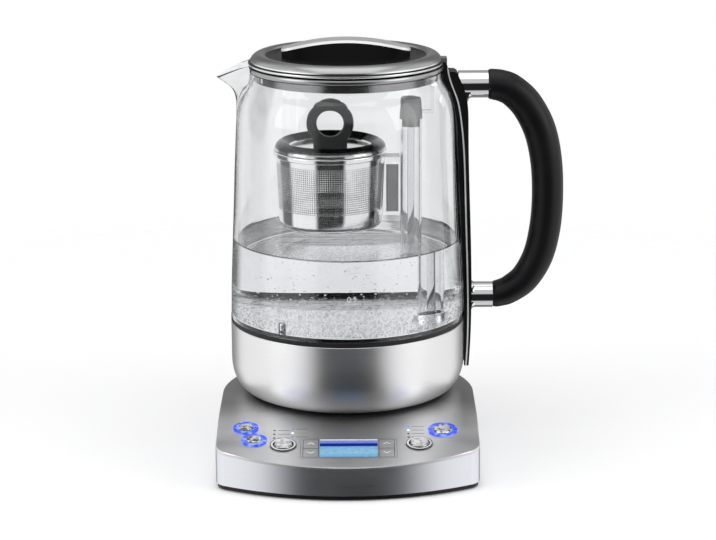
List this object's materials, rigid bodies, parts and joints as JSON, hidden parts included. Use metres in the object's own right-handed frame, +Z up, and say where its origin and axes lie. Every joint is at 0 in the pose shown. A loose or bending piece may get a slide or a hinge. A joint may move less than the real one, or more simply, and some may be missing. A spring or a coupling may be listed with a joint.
{
  "type": "automatic tea maker",
  "caption": "Glass electric jug on a powered base, with a tea basket that slides on an inner column, a hinged lid and a sloping control panel.",
  "frame": {"origin": "centre of the jug's turning axis, at table level", "axes": "+Z up, +X towards the handle, -Y towards the control panel"},
  "size_m": [0.2173, 0.2013, 0.2585],
  "materials": {
    "band_steel": "brushed, satin",
    "panel_steel": "finely brushed, mid grey",
    "skirt_steel": "brushed round the jug",
    "plate_steel": "satin",
    "basket_steel": "polished",
    "mesh_steel": "fine etched mesh",
    "lid_steel": "satin",
    "bright_chrome": "polished",
    "heater_metal": "bare",
    "black_plastic": "satin black",
    "gloss_black": "gloss black",
    "dark_plastic": "dark grey",
    "grey_plastic": "mid grey",
    "key_plastic": "grey",
    "clear_plastic": "clear",
    "clear_glass": "clear borosilicate",
    "lens_blue": "clear over a lit blue display",
    "lit_blue": "lit blue",
    "display_blue": "lit pale blue",
    "led_clear": "clear light pipes",
    "seal_rubber": "grey silicone",
    "foot_rubber": "matte",
    "screw_steel": "zinc plated",
    "contact_brass": "bare",
    "board_green": "circuit board"
  },
  "bodies": {
    "base": {"base_band": "band_steel", "base_connector": "black_plastic", "base_contacts": "contact_brass", "base_pan": "black_plastic", "base_screws": "screw_steel", "base_top_panel": "panel_steel", "control_board": "board_green", "cord_gland": "foot_rubber", "display_bezel": "gloss_black", "display_lens": "lens_blue", "display_module": "display_blue", "foot_ring": "foot_rubber", "indicator_leds": "led_clear", "lit_rings": "lit_blue", "power_board": "board_green", "trim_rings": "bright_chrome"},
    "start_button": {"start_button": "bright_chrome"},
    "programme_button": {"programme_button": "bright_chrome"},
    "strength_button": {"strength_button": "bright_chrome"},
    "temperature_button": {"temperature_button": "bright_chrome"},
    "timer_button": {"timer_button": "bright_chrome"},
    "key_left_up": {"key_left_up": "key_plastic"},
    "key_left_down": {"key_left_down": "key_plastic"},
    "key_right_up": {"key_right_up": "key_plastic"},
    "key_right_down": {"key_right_down": "key_plastic"},
    "jug_connector": {"jug_connector": "black_plastic"},
    "jug": {"jug_skirt": "skirt_steel", "jug_bottom_cover": "black_plastic", "heating_plate": "plate_steel", "heating_element": "heater_metal", "temperature_probe": "plate_steel", "glass_seal": "seal_rubber", "jug_glass": "clear_glass", "collar": "bright_chrome", "hinge_block": "black_plastic", "hinge_pin": "bright_chrome", "handle_spine": "black_plastic", "spine_trim": "bright_chrome", "spine_cover": "black_plastic", "upper_ferrule": "bright_chrome", "lower_ferrule": "bright_chrome", "jug_screws": "screw_steel", "handle_grip": "black_plastic", "column_tube": "clear_plastic", "column_cap": "grey_plastic", "column_stay": "clear_plastic", "guide_rod": "screw_steel"},
    "lid": {"lid_ring": "lid_steel", "lid_dish": "lid_steel", "lid_knob": "gloss_black", "lid_knob_cap": "lid_steel", "lid_inner_plate": "plate_steel", "lid_seal": "seal_rubber"},
    "basket": {"basket_cup": "basket_steel", "basket_mesh": "mesh_steel", "basket_rim": "basket_steel", "basket_bracket": "clear_plastic", "magnet_block": "dark_plastic"},
    "basket_lid": {"basket_lid": "basket_steel", "basket_lid_grip": "dark_plastic"}
  },
  "joints": [
    {"name": "start_button_press", "type": "slide", "parent": "base", "child": "start_button", "axis": [0, 0.165, -0.9863], "range_m": [0, 0.001], "stiffness_N_per_m": 400, "springref_m": -0.0005},
    {"name": "programme_button_press", "type": "slide", "parent": "base", "child": "programme_button", "axis": [0, 0.165, -0.9863], "range_m": [0, 0.001], "stiffness_N_per_m": 400, "springref_m": -0.0005},
    {"name": "strength_button_press", "type": "slide", "parent": "base", "child": "strength_button", "axis": [0, 0.165, -0.9863], "range_m": [0, 0.001], "stiffness_N_per_m": 400, "springref_m": -0.0005},
    {"name": "temperature_button_press", "type": "slide", "parent": "base", "child": "temperature_button", "axis": [0, 0.165, -0.9863], "range_m": [0, 0.001], "stiffness_N_per_m": 400, "springref_m": -0.0005},
    {"name": "timer_button_press", "type": "slide", "parent": "base", "child": "timer_button", "axis": [0, 0.165, -0.9863], "range_m": [0, 0.001], "stiffness_N_per_m": 400, "springref_m": -0.0005},
    {"name": "key_left_up_press", "type": "slide", "parent": "base", "child": "key_left_up", "axis": [0, 0.165, -0.9863], "range_m": [0, 0.0006], "stiffness_N_per_m": 400, "springref_m": -0.0005},
    {"name": "key_left_down_press", "type": "slide", "parent": "base", "child": "key_left_down", "axis": [0, 0.165, -0.9863], "range_m": [0, 0.0006], "stiffness_N_per_m": 400, "springref_m": -0.0005},
    {"name": "key_right_up_press", "type": "slide", "parent": "base", "child": "key_right_up", "axis": [0, 0.165, -0.9863], "range_m": [0, 0.0006], "stiffness_N_per_m": 400, "springref_m": -0.0005},
    {"name": "key_right_down_press", "type": "slide", "parent": "base", "child": "key_right_down", "axis": [0, 0.165, -0.9863], "range_m": [0, 0.0006], "stiffness_N_per_m": 400, "springref_m": -0.0005},
    {"name": "jug_lift", "type": "slide", "parent": "base", "child": "jug_connector", "axis": [0, 0, 1], "range_m": [0, 0.15]},
    {"name": "jug_swivel", "type": "hinge", "parent": "jug_connector", "child": "jug", "pos_m": [0, 0, 0.035], "axis": [0, 0, 1], "continuous": true},
    {"name": "lid_hinge", "type": "hinge", "parent": "jug", "child": "lid", "pos_m": [0.06, 0, 0.242], "axis": [0, 1, 0], "range_deg": [0, 95]},
    {"name": "basket_slide", "type": "slide", "parent": "jug", "child": "basket", "axis": [0, 0, 1], "range_m": [-0.055, 0]},
    {"name": "basket_lid_lift", "type": "slide", "parent": "basket", "child": "basket_lid", "axis": [0, 0, 1], "range_m": [0, 0.015]}
  ]
}
